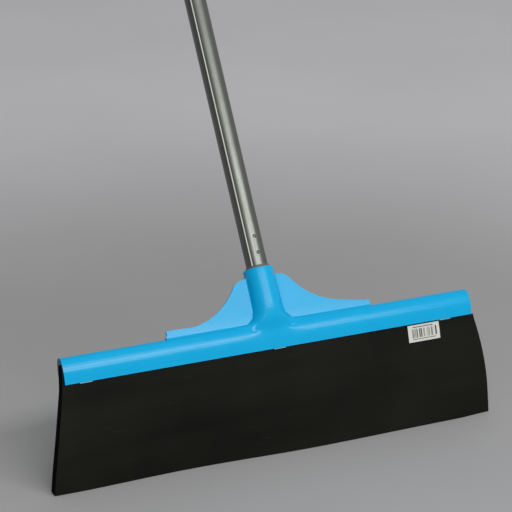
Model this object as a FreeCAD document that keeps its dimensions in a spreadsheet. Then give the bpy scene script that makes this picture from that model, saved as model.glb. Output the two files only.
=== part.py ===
import FreeCAD, Part
import os

import Sketcher

# A floor squeegee: a moulded head that grips a wide foam blade, and a metal pole that screws
# into the head's socket.
#
# Frame: X runs along the blade, +Y is the side that the pole leans to, +Z is up. The origin is
# the middle of the blade's foot, where it stands on the floor. Millimetres and degrees.
#
# Three leaning frames carry the pieces. The channel's frame starts at the middle of its mouth,
# where the blade comes out, and leans back by channel_lean. The pole's frame starts on the crown
# of the hood, in the channel's middle plane, and leans back by pole_lean.

SIZES = [
    # the leaning frames
    ("channel_lean", 20.0, "channel and blade root, from the vertical"),
    ("pole_lean", 32.0, "pole and socket, from the vertical"),
    # foam blade
    ("blade_thickness", 11.0, "foam, front to rear"),
    ("blade_tail", 30.0, "upright stretch of the foot"),
    ("bend_radius", 224.5, "bend of the foam's middle plane"),
    ("blade_seat", 19.5, "foam that sits inside the channel"),
    ("blade_overhang", 2.2, "foam past each end of the channel"),
    ("blade_spread", 16.5, "further out than that on each side, at the floor"),
    ("blade_side_radius", 720.0, "bow of the foam's side edges"),
    ("blade_gap", 0.1, "foam to each wall of the channel"),
    ("blade_end_gap", 0.3, "foam to the channel's end wall"),
    # channel of the head
    ("head_length", 450.0, "channel, end to end"),
    ("channel_height", 26.3, "mouth to crown"),
    ("hood_wall", 3.4, "walls where the round hood starts"),
    ("wall_lean", 5.5, "walls below the hood, closing in towards the mouth"),
    ("hood_side_radius", 30.0, "arc of the hood's sides"),
    ("hood_turn", 25.0, "how far a side's arc turns before the crown's arc takes over"),
    ("end_wall", 2.5, "wall that closes one end"),
    ("end_round", 1.8, "rounding of the closed end"),
    # wedges that pin the foam
    ("wedge_length", 12.5, "along the blade"),
    ("wedge_thickness", 1.2, "front to rear"),
    ("wedge_seat", 12.0, "pushed up into the channel"),
    ("wedge_peek", 0.9, "stands out of the mouth"),
    ("wedge_fit", 0.1, "wedge to its recess"),
    ("wedge_left", 22.0, "channel's left end to the middle of the left wedge"),
    ("wedge_middle", 4.0, "pole's plane to the middle of the central wedge"),
    ("wedge_right", 32.0, "channel's right end to the middle of the right wedge"),
    # socket and web of the head
    ("socket_reach", 55.4, "crown to the socket's mouth"),
    ("socket_mouth_radius", 14.4, "outside, at the mouth"),
    ("socket_base_radius", 15.3, "outside, above the flare"),
    ("socket_rim", 1.2, "rounding of the mouth"),
    ("socket_depth", 33.0, "bore"),
    ("foot_top", 11.0, "crown up to where the socket's foot starts"),
    ("foot_drop", 13.0, "crown down to where the foot has sunk into the hood"),
    ("foot_depth", 5.0, "half depth of the foot there"),
    ("foot_spread", 9.6, "widening of the foot on each side"),
    ("foot_round", 7.0, "fillet between the foot and the hood"),
    ("web_thickness", 3.0, "web, front to rear"),
    ("web_half", 113.0, "half width of the web"),
    ("web_tip", 6.5, "height of the web's end step"),
    ("web_ledge_half", 84.0, "half width where the ledge turns up"),
    ("web_ledge", 9.8, "height there"),
    ("web_sweep_radius", 72.0, "concave sweep of the web"),
    ("web_shoulder_half", 31.0, "half width at the shoulder"),
    ("web_shoulder", 41.5, "height at the shoulder"),
    ("web_top_half", 20.0, "half width of the flat top"),
    ("web_top", 47.3, "height of the flat top"),
    ("web_shoulder_round", 14.0, "rounding of the shoulder"),
    ("web_root_round", 3.0, "fillet between the web and the hood"),
    ("web_side_round", 1.5, "fillet between the web and the socket"),
    # screw joint
    ("thread_radius", 10.4, "pole's thread, outside"),
    ("thread_core", 9.0, "pole's thread, core"),
    ("thread_pitch", 5.0, "one turn"),
    ("thread_length", 26.0, "threaded stretch"),
    ("thread_crest", 1.3, "width of the thread's crest"),
    ("thread_root", 2.6, "width of the thread's root"),
    ("thread_gap", 0.3, "running clearance all round the thread"),
    # stop washer and the flange of the insert
    ("washer_thickness", 1.0, "stop washer"),
    ("washer_radius", 12.4, "stop washer, outside"),
    ("washer_gap", 0.15, "washer to the socket and to the flange"),
    ("flange_thickness", 1.2, "flange of the insert"),
    ("flange_radius", 11.9, "flange of the insert"),
    # pole
    ("pole_radius", 11.0, "metal tube, outside"),
    ("pole_wall", 0.8, "metal tube"),
    ("pole_length", 1200.0, "metal tube"),
    ("spigot_length", 42.0, "insert inside the tube"),
    ("spigot_gap", 0.05, "insert to the tube"),
    ("spigot_bore", 5.5, "hollow of the insert"),
    ("dimple_radius", 2.2, "ball that presses a dimple"),
    ("dimple_rise", 1.2, "ball's middle above the tube's face"),
    ("dimple_first", 12.5, "tube's end to the first dimple"),
    ("dimple_spacing", 17.0, "first dimple to the second"),
    # hanging cap
    ("cap_wall", 1.4, "skirt round the tube"),
    ("cap_gap", 0.05, "skirt to the tube"),
    ("cap_skirt", 32.0, "skirt"),
    ("cap_top", 3.0, "closed top of the skirt"),
    ("eye_thickness", 7.0, "flat eye"),
    ("eye_radius", 10.0, "round end of the eye"),
    ("eye_rise", 16.0, "top of the skirt to the hole's middle"),
    ("eye_hole", 5.0, "radius of the hole"),
    # label
    ("label_width", 36.5, "along the blade"),
    ("label_height", 17.5, "down the blade"),
    ("label_drop", 1.4, "below the channel's mouth"),
    ("label_inset", 39.4, "channel's right end to the label"),
    ("label_thickness", 0.2, "paper"),
]

X_AXIS = FreeCAD.Vector(1, 0, 0)
CUT_REACH = 400.0                 # a cut that goes right through reaches this far both ways
THREAD_BITE = 0.2                 # a thread's profile starts this far inside its core
FOOT_OVERLAP = 0.02               # the socket's lofted foot stands this far out of its tube
# Shape of the foot from its top to its lower end: shares of the way down, of the widening and
# of the closing in towards foot_depth.
FOOT_SHAPE = [
    (0.00, 0.00, 0.00),
    (0.18, 0.15, 0.02),
    (0.33, 0.46, 0.10),
    (0.44, 0.77, 0.25),
    (0.60, 0.80, 0.50),
    (0.78, 0.50, 0.80),
    (1.00, 0.10, 1.00),
]
WEDGES = ["left", "middle", "right"]

doc = FreeCAD.newDocument("floor_squeegee")


def make_sheet():
    """Spreadsheet of the driving sizes, one named cell to a row."""
    sheet = doc.addObject("Spreadsheet::Sheet", "Sizes")
    for row, (name, number, meaning) in enumerate(SIZES, start=1):
        sheet.set(f"A{row}", meaning)
        sheet.set(f"B{row}", str(number))
        sheet.setAlias(f"B{row}", name)
    doc.recompute()
    return sheet


sheet = make_sheet()


# Formulas that several pieces share, over the cells of the sheet.
BLADE_HALF = "Sizes.blade_thickness / 2"
CAVITY_HALF = f"({BLADE_HALF} + Sizes.blade_gap)"
HOOD_HALF = f"({CAVITY_HALF} + Sizes.hood_wall)"
HOOD_SIDE_DEPTH = "(Sizes.hood_side_radius * (1 - cos(Sizes.hood_turn)))"
CROWN_RADIUS = f"(({HOOD_HALF} - {HOOD_SIDE_DEPTH}) / cos(Sizes.hood_turn))"
SHOULDER_HALF = f"{CROWN_RADIUS} * cos(Sizes.hood_turn)"
SHOULDER_UP = f"(Sizes.channel_height - {CROWN_RADIUS} * (1 - sin(Sizes.hood_turn)))"
WALL_TOP_HALF = f"({HOOD_HALF} - Sizes.hood_side_radius * (1 - cos(Sizes.wall_lean)))"
WALL_TOP = f"({SHOULDER_UP} - Sizes.hood_side_radius * (sin(Sizes.hood_turn) + sin(Sizes.wall_lean)))"
LIP_HALF = f"({WALL_TOP_HALF} - {WALL_TOP} * tan(Sizes.wall_lean))"
MOUTH_Y = "Sizes.bend_radius * (1 - cos(Sizes.channel_lean))"
MOUTH_Z = "(Sizes.blade_tail + Sizes.bend_radius * sin(Sizes.channel_lean))"
CROWN_Y = f"({MOUTH_Y} + Sizes.channel_height * sin(Sizes.channel_lean))"
CROWN_Z = f"({MOUTH_Z} + Sizes.channel_height * cos(Sizes.channel_lean))"
BLADE_MOUTH_HALF = "(Sizes.head_length / 2 + Sizes.blade_overhang)"
BLADE_FOOT_HALF = f"({BLADE_MOUTH_HALF} + Sizes.blade_spread)"
WEDGE_MIDDLES = {
    "left": "(Sizes.wedge_left - Sizes.head_length / 2)",
    "middle": "Sizes.wedge_middle",
    "right": "(Sizes.head_length / 2 - Sizes.wedge_right)",
}
SOCKET_TILT = "(Sizes.pole_lean - Sizes.channel_lean)"
WASHER_FOOT = "(Sizes.socket_reach + Sizes.washer_gap)"
FLANGE_FOOT = f"({WASHER_FOOT} + Sizes.washer_thickness + Sizes.washer_gap)"
TUBE_FOOT = f"({FLANGE_FOOT} + Sizes.flange_thickness)"
TUBE_TOP = f"({TUBE_FOOT} + Sizes.pole_length)"
TUBE_BORE = "(Sizes.pole_radius - Sizes.pole_wall)"
THREAD_FOOT = "(Sizes.socket_reach - Sizes.thread_length)"
DIMPLES = {
    "lower": f"({TUBE_FOOT} + Sizes.dimple_first)",
    "upper": f"({TUBE_FOOT} + Sizes.dimple_first + Sizes.dimple_spacing)",
}


def place(piece, back, up, lean):
    """Move a piece to a point of the middle plane and lean it back, by formulas."""
    piece.Placement = FreeCAD.Placement(FreeCAD.Vector(), FreeCAD.Rotation(X_AXIS, 1))
    piece.setExpression("Placement.Base.y", back)
    piece.setExpression("Placement.Base.z", up)
    piece.setExpression("Placement.Rotation.Angle", f"-({lean}) * 1 deg")


def new_body(name, back="0", up="0", lean="0"):
    """Body of one piece, in the frame given by formulas for its place and lean."""
    body = doc.addObject("PartDesign::Body", name)
    body.Label = name
    place(body, back, up, lean)
    return body


def channel_body(name):
    return new_body(name, MOUTH_Y, MOUTH_Z, "Sizes.channel_lean")


def pole_body(name):
    return new_body(name, CROWN_Y, CROWN_Z, "Sizes.pole_lean")


def sketch_on(body, name, role):
    """New sketch on one of the body's own origin planes."""
    plane = next(part for part in body.Origin.OriginFeatures if part.Role == role)
    sketch = body.newObject("Sketcher::SketchObject", name)
    sketch.AttachmentSupport = [(plane, "")]
    sketch.MapMode = "FlatFace"
    return sketch


def tip_sketch(sketch, up, lean, back="0"):
    """Move an XZ sketch up and back in its body and lean it back, by formulas."""
    sketch.AttachmentOffset = FreeCAD.Placement(FreeCAD.Vector(), FreeCAD.Rotation(X_AXIS, 1))
    sketch.setExpression("AttachmentOffset.Base.y", up)
    sketch.setExpression("AttachmentOffset.Base.z", f"-({back})")
    sketch.setExpression("AttachmentOffset.Rotation.Angle", f"-({lean}) * 1 deg")


def arc_between(start, end, radius):
    """Arc of a radius that bulges to the right of the way from start to end, or with a
    negative radius to the left."""
    chord = end.sub(start)
    half = chord.Length / 2
    sagitta = abs(radius) - (radius * radius - half * half) ** 0.5
    right = FreeCAD.Vector(chord.y, -chord.x, 0).normalize()
    bulge = right.multiply(sagitta if radius > 0 else -sagitta)
    middle = start.add(end).multiply(0.5).add(bulge)
    return Part.Arc(start, middle, end)


def bind(sketch, constraint, name, formula):
    """Add a constraint and drive it by a formula."""
    number = sketch.addConstraint(constraint)
    sketch.renameConstraint(number, name)
    sketch.setExpression(f"Constraints.{name}", formula)


def nearer_end(sketch, edge, point):
    """1 where the edge starts at the point, or 2 where it ends there."""
    to_start = sketch.getPoint(edge, 1).sub(point).Length
    to_end = sketch.getPoint(edge, 2).sub(point).Length
    return 1 if to_start < to_end else 2


def outline(sketch, corners):
    """Closed outline through corners (across, up), each a pair of formulas.

    A third entry makes the edge that leads on from the corner an arc of that radius. It bulges
    to the right of its way, or to the left where a fourth entry says so.
    """
    points = []
    for corner in corners:
        across = float(sketch.evalExpression(corner[0]))
        up = float(sketch.evalExpression(corner[1]))
        points.append(FreeCAD.Vector(across, up, 0))
    first = sketch.GeometryCount
    count = len(points)
    for index, corner in enumerate(corners):
        start = points[index]
        end = points[(index + 1) % count]
        if len(corner) == 2:
            edge = Part.LineSegment(start, end)
        else:
            radius = float(sketch.evalExpression(corner[2]))
            edge = arc_between(start, end, -radius if "left" in corner else radius)
        sketch.addGeometry(edge, False)
    for index, corner in enumerate(corners):
        edge = first + index
        before = first + (index - 1) % count
        point = points[index]
        lead = nearer_end(sketch, edge, point)
        tail = nearer_end(sketch, before, point)
        sketch.addConstraint(Sketcher.Constraint("Coincident", before, tail, edge, lead))
        across = Sketcher.Constraint("DistanceX", -1, 1, edge, lead, point.x)
        bind(sketch, across, f"across_{edge}", corner[0])
        up = Sketcher.Constraint("DistanceY", -1, 1, edge, lead, point.y)
        bind(sketch, up, f"up_{edge}", corner[1])
    for index, corner in enumerate(corners):
        if len(corner) > 2:
            edge = first + index
            radius = float(sketch.evalExpression(corner[2]))
            bind(sketch, Sketcher.Constraint("Radius", edge, radius), f"arc_{edge}", corner[2])


def box_outline(sketch, left, right, low, high):
    """Rectangle between four formulas."""
    outline(sketch, [(left, low), (right, low), (right, high), (left, high)])


def circle(sketch, across, up, radius):
    """Full circle, by formulas."""
    x = float(sketch.evalExpression(across))
    y = float(sketch.evalExpression(up))
    r = float(sketch.evalExpression(radius))
    edge = sketch.GeometryCount
    sketch.addGeometry(Part.Circle(FreeCAD.Vector(x, y, 0), FreeCAD.Vector(0, 0, 1), r), False)
    bind(sketch, Sketcher.Constraint("DistanceX", -1, 1, edge, 3, x), f"across_{edge}", across)
    bind(sketch, Sketcher.Constraint("DistanceY", -1, 1, edge, 3, y), f"up_{edge}", up)
    bind(sketch, Sketcher.Constraint("Radius", edge, r), f"radius_{edge}", radius)


def mirrored(corners):
    """Outline that is alike on both sides of the vertical axis, from its right half, which runs
    from the foot up. The left half runs back down, with the same arcs."""
    left = []
    for index in range(len(corners) - 1, -1, -1):
        across, up = corners[index][:2]
        arc = corners[index - 1][2:] if index > 0 else ()
        left.append((f"-({across})", up) + tuple(arc))
    return list(corners) + left


def settle(feature):
    """Recompute, and stop at once if the new feature failed."""
    doc.recompute()
    if "Invalid" in feature.State or feature.Shape.isNull():
        raise RuntimeError(f"{feature.Label} failed")
    return feature


def add_pad(body, sketch, name, length):
    """Pad that grows to both sides of its sketch."""
    pad = body.newObject("PartDesign::Pad", name)
    pad.Profile = sketch
    pad.Midplane = True
    pad.setExpression("Length", length)
    return settle(pad)


def add_cut(body, sketch, name, length=None):
    """Pocket to both sides of its sketch, right through unless a length is given.

    It has to take material away, or the model stops.
    """
    before = body.Shape.Volume
    pocket = body.newObject("PartDesign::Pocket", name)
    pocket.Profile = sketch
    pocket.Midplane = True
    if length is None:
        pocket.Length = 2 * CUT_REACH
    else:
        pocket.setExpression("Length", length)
    settle(pocket)
    assert body.Shape.Volume < before, f"{name} cuts nothing"
    return pocket


def add_turn(body, sketch, name, kind="Revolution"):
    """Revolution or Groove, a full turn about the sketch's upright axis."""
    turn = body.newObject(f"PartDesign::{kind}", name)
    turn.Profile = sketch
    turn.ReferenceAxis = (sketch, ["V_Axis"])
    turn.Angle = 360
    return settle(turn)


def add_helix(body, sketch, name, height, kind="AdditiveHelix"):
    """Right-hand thread about the sketch's upright axis."""
    helix = body.newObject(f"PartDesign::{kind}", name)
    helix.Profile = sketch
    helix.ReferenceAxis = (sketch, ["V_Axis"])
    helix.Mode = "pitch-height-angle"
    helix.setExpression("Pitch", "Sizes.thread_pitch")
    helix.setExpression("Height", height)
    helix.Angle = 0
    helix.LeftHanded = False
    return settle(helix)


def add_fillet(body, feature, name, radius, chosen):
    """Fillet on the edges of the last feature that the test picks."""
    edges = []
    for number, edge in enumerate(feature.Shape.Edges, start=1):
        if chosen(edge):
            edges.append(f"Edge{number}")
    assert edges, f"{name} finds no edge"
    fillet = body.newObject("PartDesign::Fillet", name)
    fillet.Base = (feature, edges)
    fillet.setExpression("Radius", radius)
    return settle(fillet)


def thread_profile(sketch, foot, core, crest, widen):
    """Trapezoid of the thread, whose lower flank starts at the foot. The widening goes to both
    sides of it."""
    middle = f"({foot} + Sizes.thread_root / 2)"
    root_half = f"(Sizes.thread_root / 2 + {widen})"
    crest_half = f"(Sizes.thread_crest / 2 + {widen})"
    outline(sketch, [
        (core, f"{middle} - {root_half}"),
        (crest, f"{middle} - {crest_half}"),
        (crest, f"{middle} + {crest_half}"),
        (core, f"{middle} + {root_half}"),
    ])


def oval_sketch(body, name, height, half, depth):
    """Oval across the pole's axis at a height above the crown: half wide, depth deep."""
    sketch = sketch_on(body, name, "XY_Plane")
    sketch.AttachmentOffset = FreeCAD.Placement(FreeCAD.Vector(), FreeCAD.Rotation(X_AXIS, 1))
    sketch.setExpression("AttachmentOffset.Base.y", f"({height}) * sin({SOCKET_TILT})")
    sketch.setExpression("AttachmentOffset.Base.z",
                         f"Sizes.channel_height + ({height}) * cos({SOCKET_TILT})")
    sketch.setExpression("AttachmentOffset.Rotation.Angle", f"-({SOCKET_TILT}) * 1 deg")
    wide = float(sketch.evalExpression(half))
    deep = float(sketch.evalExpression(depth))
    oval = Part.Ellipse(FreeCAD.Vector(wide, 0, 0), FreeCAD.Vector(0, deep, 0), FreeCAD.Vector())
    sketch.addGeometry(oval, False)
    # the two axes of the oval become lines 1 and 2 of the sketch
    sketch.exposeInternalGeometry(0)
    sketch.addConstraint(Sketcher.Constraint("Coincident", 0, 3, -1, 1))
    sketch.addConstraint(Sketcher.Constraint("Horizontal", 1))
    bind(sketch, Sketcher.Constraint("Distance", 1, 2 * wide), "wide", f"2 * ({half})")
    bind(sketch, Sketcher.Constraint("Distance", 2, 2 * deep), "deep", f"2 * ({depth})")
    return sketch


def foot_sections():
    """Heights, half widths and half depths of the foot, which spreads out along the hood and
    closes in on it in front and behind."""
    top_half = f"(Sizes.socket_base_radius + 2 * {FOOT_OVERLAP})"
    top_depth = f"(Sizes.socket_base_radius + {FOOT_OVERLAP})"
    sections = []
    for down, widening, closing in FOOT_SHAPE:
        height = f"Sizes.foot_top - {down} * (Sizes.foot_top + Sizes.foot_drop)"
        half = f"{top_half} + {widening} * Sizes.foot_spread"
        depth = f"{top_depth} - {closing} * ({top_depth} - Sizes.foot_depth)"
        sections.append((height, half, depth))
    return sections


def add_loft(body, name, sections):
    """Smooth loft through ovals across the pole's axis."""
    sketches = []
    for number, (height, half, depth) in enumerate(sections, start=1):
        sketches.append(oval_sketch(body, f"{name}_{number}", height, half, depth))
    loft = body.newObject("PartDesign::AdditiveLoft", name)
    loft.Profile = sketches[0]
    loft.Sections = sketches[1:]
    loft.Ruled = False
    return settle(loft)


def make_head():
    """Moulded head: blade channel with a round hood, socket for the pole, and web."""
    body = channel_body("head")

    # channel: walls that close in a little towards the mouth, under a tall round hood; walls,
    # the hood's sides and its crown run into each other smoothly
    section = sketch_on(body, "channel_section", "YZ_Plane")
    outline(section, [
        (LIP_HALF, "0"),
        (WALL_TOP_HALF, WALL_TOP, "Sizes.hood_side_radius"),
        (SHOULDER_HALF, SHOULDER_UP, CROWN_RADIUS),
        (f"-{SHOULDER_HALF}", SHOULDER_UP, "Sizes.hood_side_radius"),
        (f"-{WALL_TOP_HALF}", WALL_TOP),
        (f"-{LIP_HALF}", "0"),
    ])
    channel = add_pad(body, section, "channel", "Sizes.head_length")

    # one end is closed, with its corner rounded off
    def on_closed_end(edge):
        return isinstance(edge.Curve, Part.Circle) and edge.CenterOfMass.x > 0

    add_fillet(body, channel, "end_round", "Sizes.end_round", on_closed_end)

    # socket: a slightly tapered tube on a foot that blends into the hood
    tube = sketch_on(body, "socket_half", "XZ_Plane")
    tip_sketch(tube, "Sizes.channel_height", SOCKET_TILT)
    outline(tube, [
        ("0", "Sizes.foot_top - 1"),
        ("Sizes.socket_base_radius", "Sizes.foot_top - 1"),
        ("Sizes.socket_base_radius", "Sizes.foot_top + 1"),
        ("Sizes.socket_mouth_radius", "Sizes.socket_reach"),
        ("0", "Sizes.socket_reach"),
    ])
    add_turn(body, tube, "socket")
    foot = add_loft(body, "foot", foot_sections())

    def on_foot_edge(edge):
        low = edge.BoundBox.ZMax < sheet.channel_height + sheet.foot_round
        return low and isinstance(edge.Curve, Part.BSplineCurve)

    add_fillet(body, foot, "foot_round", "Sizes.foot_round", on_foot_edge)

    # web in the pole's plane, with a fillet along its root
    web = sketch_on(body, "web_outline", "XZ_Plane")
    tip_sketch(web, "Sizes.channel_height", SOCKET_TILT)
    web_foot = f"-{HOOD_HALF} / 2"
    outline(web, mirrored([
        ("Sizes.web_half", web_foot),
        ("Sizes.web_half", "Sizes.web_tip"),
        ("Sizes.web_ledge_half", "Sizes.web_ledge", "Sizes.web_sweep_radius", "left"),
        ("Sizes.web_shoulder_half", "Sizes.web_shoulder", "Sizes.web_shoulder_round"),
        ("Sizes.web_top_half", "Sizes.web_top"),
    ]))
    web_pad = add_pad(body, web, "web", "Sizes.web_thickness")

    def on_web_root(edge):
        along = edge.tangentAt(edge.FirstParameter)
        low = edge.BoundBox.ZMax < sheet.channel_height + sheet.web_tip / 2
        return low and abs(along.x) > 0.999 and sheet.web_half / 2 < edge.Length < sheet.web_half

    root = add_fillet(body, web_pad, "web_root", "Sizes.web_root_round", on_web_root)

    def on_web_side(edge):
        return isinstance(edge.Curve, Part.Hyperbola)

    side = add_fillet(body, root, "web_side", "Sizes.web_side_round", on_web_side)

    # the mouth's rim, found by its height along the tilted axis
    tilt = FreeCAD.Rotation(X_AXIS, -(sheet.pole_lean - sheet.channel_lean))
    axis = tilt.multVec(FreeCAD.Vector(0, 0, 1))
    crown = FreeCAD.Vector(0, 0, sheet.channel_height)

    def on_rim(edge):
        height = edge.CenterOfMass.sub(crown).dot(axis)
        return abs(height - sheet.socket_reach) < 0.01

    add_fillet(body, side, "socket_rim", "Sizes.socket_rim", on_rim)

    # bore for the thread, with the thread cut into its wall a turn deeper than the pole's starts
    bore = sketch_on(body, "bore_half", "XZ_Plane")
    tip_sketch(bore, "Sizes.channel_height", SOCKET_TILT)
    box_outline(bore, "0", "Sizes.thread_core + Sizes.thread_gap",
                "Sizes.socket_reach - Sizes.socket_depth", "Sizes.socket_reach + 1")
    add_turn(body, bore, "bore", "Groove")

    groove = sketch_on(body, "thread_groove", "XZ_Plane")
    tip_sketch(groove, "Sizes.channel_height", SOCKET_TILT)
    thread_profile(groove, f"({THREAD_FOOT} - Sizes.thread_pitch)",
                   "Sizes.thread_core", "Sizes.thread_radius + Sizes.thread_gap",
                   "Sizes.thread_gap")
    add_helix(body, groove, "thread", "Sizes.thread_length + 2 * Sizes.thread_pitch",
              "SubtractiveHelix")

    # cavity for the foam, open at the left end
    cavity = sketch_on(body, "cavity_outline", "XZ_Plane")
    box_outline(cavity, "-Sizes.head_length", "Sizes.head_length / 2 - Sizes.end_wall",
                f"-{HOOD_HALF}", "Sizes.blade_seat + Sizes.blade_gap")
    add_cut(body, cavity, "cavity", f"2 * {CAVITY_HALF}")

    # recesses in the front wall, one to a wedge
    for place_name in WEDGES:
        recess = sketch_on(body, f"recess_{place_name}", "XZ_Plane")
        recess.setExpression("AttachmentOffset.Base.z",
                             f"{CAVITY_HALF} + Sizes.wedge_thickness / 2")
        half = "(Sizes.wedge_length / 2 + Sizes.wedge_fit)"
        middle = WEDGE_MIDDLES[place_name]
        box_outline(recess, f"{middle} - {half}", f"{middle} + {half}",
                    "-1", "Sizes.wedge_seat + Sizes.wedge_fit")
        add_cut(body, recess, f"pocket_{place_name}",
                "Sizes.wedge_thickness + 2 * Sizes.wedge_fit")
    return body


def make_wedge(place_name):
    """Small wedge pushed up between the foam and the front wall; its foot peeks out."""
    body = channel_body(f"blade_wedge_{place_name}")
    face = sketch_on(body, f"wedge_face_{place_name}", "XZ_Plane")
    face.setExpression("AttachmentOffset.Base.z",
                       f"{CAVITY_HALF} + Sizes.wedge_thickness / 2")
    middle = WEDGE_MIDDLES[place_name]
    box_outline(face, f"{middle} - Sizes.wedge_length / 2", f"{middle} + Sizes.wedge_length / 2",
                "-Sizes.wedge_peek", "Sizes.wedge_seat")
    add_pad(body, face, f"wedge_{place_name}", "Sizes.wedge_thickness")
    return body


def make_blade():
    """Foam blade: straight in the channel, bent to the upright below it, wider at the foot."""
    body = new_body("foam_blade")
    side = sketch_on(body, "blade_side", "YZ_Plane")
    front = f"(Sizes.bend_radius + {BLADE_HALF})"
    rear = f"(Sizes.bend_radius - {BLADE_HALF})"
    lean_cos = "cos(Sizes.channel_lean)"
    lean_sin = "sin(Sizes.channel_lean)"
    seat_back = f"Sizes.blade_seat * {lean_sin}"
    seat_up = f"Sizes.blade_seat * {lean_cos}"
    outline(side, [
        (BLADE_HALF, "0"),
        (BLADE_HALF, "Sizes.blade_tail", rear, "left"),
        (f"Sizes.bend_radius - {rear} * {lean_cos}", f"Sizes.blade_tail + {rear} * {lean_sin}"),
        (f"Sizes.bend_radius - {rear} * {lean_cos} + {seat_back}",
         f"Sizes.blade_tail + {rear} * {lean_sin} + {seat_up}"),
        (f"Sizes.bend_radius - {front} * {lean_cos} + {seat_back}",
         f"Sizes.blade_tail + {front} * {lean_sin} + {seat_up}"),
        (f"Sizes.bend_radius - {front} * {lean_cos}", f"Sizes.blade_tail + {front} * {lean_sin}",
         front, "right"),
        (f"-{BLADE_HALF}", "Sizes.blade_tail"),
        (f"-{BLADE_HALF}", "0"),
    ])
    add_pad(body, side, "blade", f"2 * {BLADE_FOOT_HALF} + 20")

    # side edges spread out below the mouth
    trim_top = f"({MOUTH_Z} + {LIP_HALF})"
    for hand, sign in (("left", "-"), ("right", "")):
        trim = sketch_on(body, f"side_trim_{hand}", "XZ_Plane")
        arc_side = "right" if hand == "right" else "left"
        outline(trim, [
            (f"{sign}{BLADE_FOOT_HALF}", "0", "Sizes.blade_side_radius", arc_side),
            (f"{sign}{BLADE_MOUTH_HALF}", MOUTH_Z),
            (f"{sign}{BLADE_MOUTH_HALF}", f"{trim_top} + Sizes.blade_seat"),
            (f"{sign}({BLADE_FOOT_HALF} + 30)", f"{trim_top} + Sizes.blade_seat"),
            (f"{sign}({BLADE_FOOT_HALF} + 30)", "-5"),
            (f"{sign}{BLADE_FOOT_HALF}", "-5"),
        ])
        add_cut(body, trim, f"side_{hand}")

    # inside the channel the foam stands out of the open end and stops short of the end wall
    root = sketch_on(body, "root_trim", "XZ_Plane")
    tip_sketch(root, MOUTH_Z, "Sizes.channel_lean", MOUTH_Y)
    box_outline(root, "Sizes.head_length / 2 - Sizes.end_wall - Sizes.blade_end_gap",
                "Sizes.head_length", "-Sizes.blade_end_gap", "Sizes.blade_seat + 5")
    add_cut(body, root, "root_end")
    return body


def make_label():
    """Paper label on the foam's front face, bent with it."""
    front = f"(Sizes.bend_radius + {BLADE_HALF})"
    start = f"(Sizes.channel_lean - Sizes.label_drop / {front} * 180 / pi)"
    body = new_body("blade_label", "Sizes.bend_radius", "Sizes.blade_tail", start)
    strip = sketch_on(body, "label_strip", "XY_Plane")
    label_right = "Sizes.head_length / 2 - Sizes.label_inset"
    box_outline(strip, f"{label_right} - Sizes.label_width", label_right,
                f"-({front} + Sizes.label_thickness)", f"-{front}")
    label = body.newObject("PartDesign::Revolution", "label")
    label.Profile = strip
    label.ReferenceAxis = (strip, ["H_Axis"])
    label.setExpression("Angle", f"Sizes.label_height / {front} * 180 / pi * 1 deg")
    doc.recompute()
    return body


def make_washer():
    """Stop washer between the socket's mouth and the insert's flange."""
    body = pole_body("stop_washer")
    ring = sketch_on(body, "washer_half", "XZ_Plane")
    box_outline(ring, "Sizes.thread_radius + Sizes.thread_gap", "Sizes.washer_radius",
                WASHER_FOOT, f"{WASHER_FOOT} + Sizes.washer_thickness")
    add_turn(body, ring, "washer")
    return body


def dimple_ball(name, height, radius):
    """Ball in front of the tube, at a height along the pole."""
    ball = doc.addObject("Part::Sphere", name)
    ball.setExpression("Radius", radius)
    out = "(Sizes.pole_radius + Sizes.dimple_rise)"
    lean_cos = "cos(Sizes.pole_lean)"
    lean_sin = "sin(Sizes.pole_lean)"
    ball.setExpression("Placement.Base.y", f"{CROWN_Y} + {height} * {lean_sin} - {out} * {lean_cos}")
    ball.setExpression("Placement.Base.z", f"{CROWN_Z} + {height} * {lean_cos} + {out} * {lean_sin}")
    return ball


def make_pole_tube():
    """Metal tube with two dimples that are pressed into the insert."""
    outer = doc.addObject("Part::Cylinder", "tube_outside")
    outer.setExpression("Radius", "Sizes.pole_radius")
    inner = doc.addObject("Part::Cylinder", "tube_inside")
    inner.setExpression("Radius", TUBE_BORE)
    for cylinder in (outer, inner):
        cylinder.setExpression("Height", "Sizes.pole_length")
        place(cylinder, f"{CROWN_Y} + {TUBE_FOOT} * sin(Sizes.pole_lean)",
              f"{CROWN_Z} + {TUBE_FOOT} * cos(Sizes.pole_lean)", "Sizes.pole_lean")
    bare = doc.addObject("Part::Cut", "bare_tube")
    bare.Base = outer
    bare.Tool = inner
    # each dimple is a bump inside, one wall thicker than the hollow outside
    bumps = []
    hollows = []
    for name, height in DIMPLES.items():
        ball = dimple_ball(f"bump_ball_{name}", height, "Sizes.dimple_radius + Sizes.pole_wall")
        bump = doc.addObject("Part::Common", f"bump_{name}")
        bump.Base = ball
        bump.Tool = doc.copyObject(outer)
        bumps.append(bump)
        hollows.append(dimple_ball(f"hollow_{name}", height, "Sizes.dimple_radius"))
    dented = doc.addObject("Part::MultiFuse", "tube_with_bumps")
    dented.Shapes = [bare] + bumps
    both_hollows = doc.addObject("Part::MultiFuse", "dimple_hollows")
    both_hollows.Shapes = hollows
    tube = doc.addObject("Part::Cut", "pole_tube")
    tube.Base = dented
    tube.Tool = both_hollows
    tube.Label = "pole_tube"
    doc.recompute()
    return tube


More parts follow.
